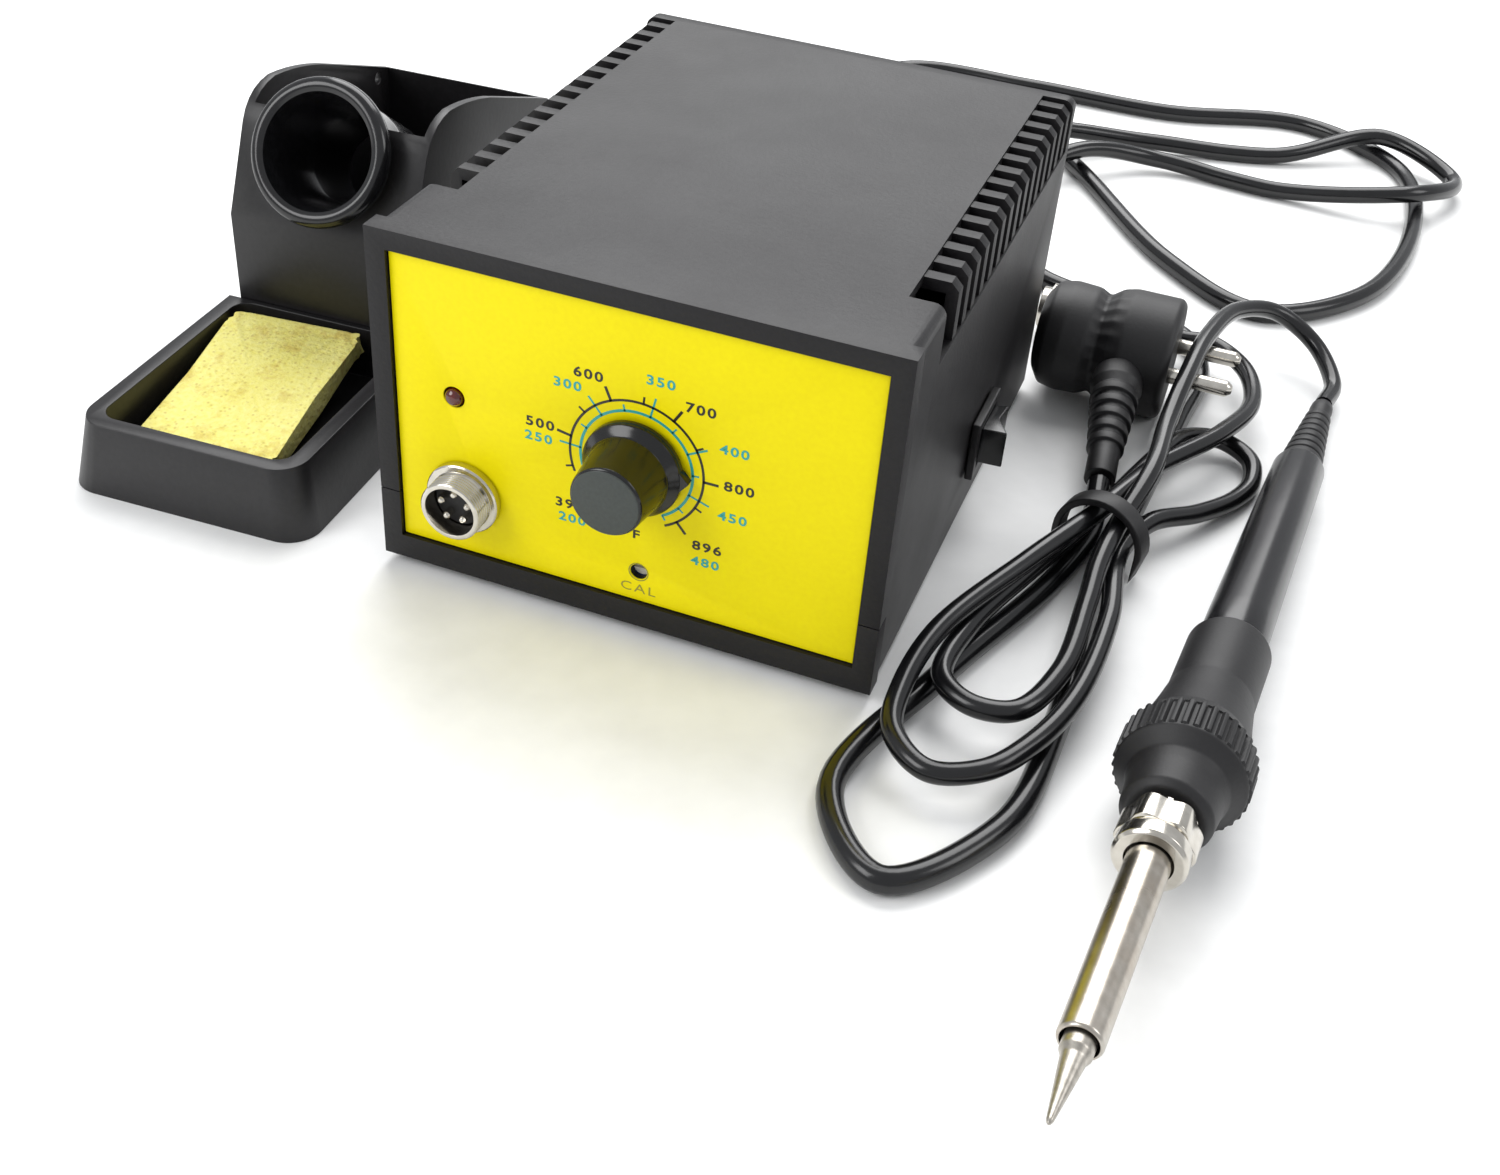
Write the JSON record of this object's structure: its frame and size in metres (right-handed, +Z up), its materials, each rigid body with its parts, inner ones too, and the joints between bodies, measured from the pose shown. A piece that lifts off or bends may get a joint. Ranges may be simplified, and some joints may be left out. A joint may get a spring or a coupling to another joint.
{
  "type": "soldering_station",
  "caption": "Analogue soldering station: dial front panel, stand with sponge, corded iron and tied mains lead",
  "frame": {"origin": "bottom centre of the whole set without its leads, rounded to 1 mm, on the bench", "axes": "+X to the right along the front of the base unit, +Y from its front panel to its rear, +Z up"},
  "size_m": [0.3539, 0.5397, 0.095],
  "materials": {
    "housing": "fine spark-textured charcoal ABS",
    "panel_yellow": "printed polyester overlay, satin",
    "black_gloss": "polished black phenolic",
    "cable_black": "smooth PVC sheath, shiny",
    "rubber_black": "soft moulded rubber",
    "handle_black": "satin moulded nylon",
    "knob_grey": "dark grey-green moulded cap",
    "nickel": "nickel plated, lightly worn",
    "steel": "zinc plated steel",
    "brass_pins": "gold-coloured contacts",
    "tip_metal": "iron plated tip with a tinned end",
    "copper_winding": "enamelled copper wire",
    "led_red": "clear dark red",
    "trimmer_white": "blue trimmer case",
    "board_green": "solder mask",
    "ceramic": "unglazed",
    "sponge_yellow": "damp cellulose sponge, browned by use"
  },
  "bodies": {
    "station": {"base_tray": "housing", "top_cover": "housing", "front_panel": "panel_yellow", "rear_panel": "housing", "foot_1": "housing", "foot_2": "housing", "foot_3": "housing", "foot_4": "housing", "case_screw_1": "steel", "case_screw_2": "steel", "case_screw_3": "steel", "case_screw_4": "steel", "socket_shell": "nickel", "socket_insert": "black_gloss", "socket_pin_1": "brass_pins", "socket_pin_2": "brass_pins", "socket_pin_3": "brass_pins", "socket_pin_4": "brass_pins", "socket_pin_5": "brass_pins", "socket_nut": "nickel", "potentiometer": "housing", "led_lens": "led_red", "cal_trimmer": "trimmer_white", "switch_body": "housing", "transformer_core": "steel", "transformer_coil": "copper_winding", "transformer_bracket": "steel", "circuit_board": "board_green", "filter_capacitor": "black_gloss", "heat_sink": "steel", "triac": "housing", "fuse": "ceramic", "mains_gland": "rubber_black", "mains_cord": "cable_black", "plug_body": "rubber_black", "plug_pin_1": "nickel", "plug_pin_2": "nickel", "plug_relief": "rubber_black"},
    "dial": {"temp_knob": "knob_grey", "knob_shaft": "steel"},
    "trimmer": {"cal_rotor": "nickel"},
    "rocker": {"switch_rocker": "black_gloss"},
    "stand": {"stand_base": "housing", "stand_holder": "housing", "stand_collar": "black_gloss"},
    "wiper": {"sponge": "sponge_yellow"},
    "iron": {"iron_tip": "tip_metal", "tip_pipe": "nickel", "iron_nose": "nickel", "heater": "ceramic", "iron_grip": "rubber_black", "iron_handle": "handle_black", "iron_relief": "rubber_black", "iron_cord": "cable_black", "cord_tie": "rubber_black", "connector_body": "nickel"},
    "tip_nut": {"iron_nut": "nickel"},
    "coupling": {"connector_ring": "nickel"}
  },
  "joints": [
    {"name": "temperature_dial", "type": "hinge", "parent": "station", "child": "dial", "pos_m": [0.0078, -0.035, 0.0496], "axis": [0, 1, 0], "range_deg": [-200, 64]},
    {"name": "calibration_trimmer", "type": "hinge", "parent": "station", "child": "trimmer", "pos_m": [0.0094, -0.0315, 0.0187], "axis": [0, 1, 0], "range_deg": [-135, 135]},
    {"name": "power_rocker", "type": "hinge", "parent": "station", "child": "rocker", "pos_m": [0.0717, 0.057, 0.0242], "axis": [0, 0, 1], "range_deg": [-24, 0]},
    {"name": "stand_lift", "type": "slide", "parent": "station", "child": "stand", "axis": [0, 0, 1], "range_m": [0, 0.1]},
    {"name": "sponge_lift", "type": "slide", "parent": "stand", "child": "wiper", "axis": [0, 0, 1], "range_m": [0, 0.025]},
    {"name": "iron_lift", "type": "slide", "parent": "station", "child": "iron", "axis": [0, 0, 1], "range_m": [0, 0.1]},
    {"name": "tip_nut_turn", "type": "hinge", "parent": "iron", "child": "tip_nut", "pos_m": [0.1443, -0.0403, 0.0159], "axis": [0.0721, 0.9959, -0.0541], "continuous": true},
    {"name": "connector_ring_turn", "type": "hinge", "parent": "iron", "child": "coupling", "pos_m": [0.105, 0.166, 0.0089], "axis": [1, 0, 0], "continuous": true}
  ]
}
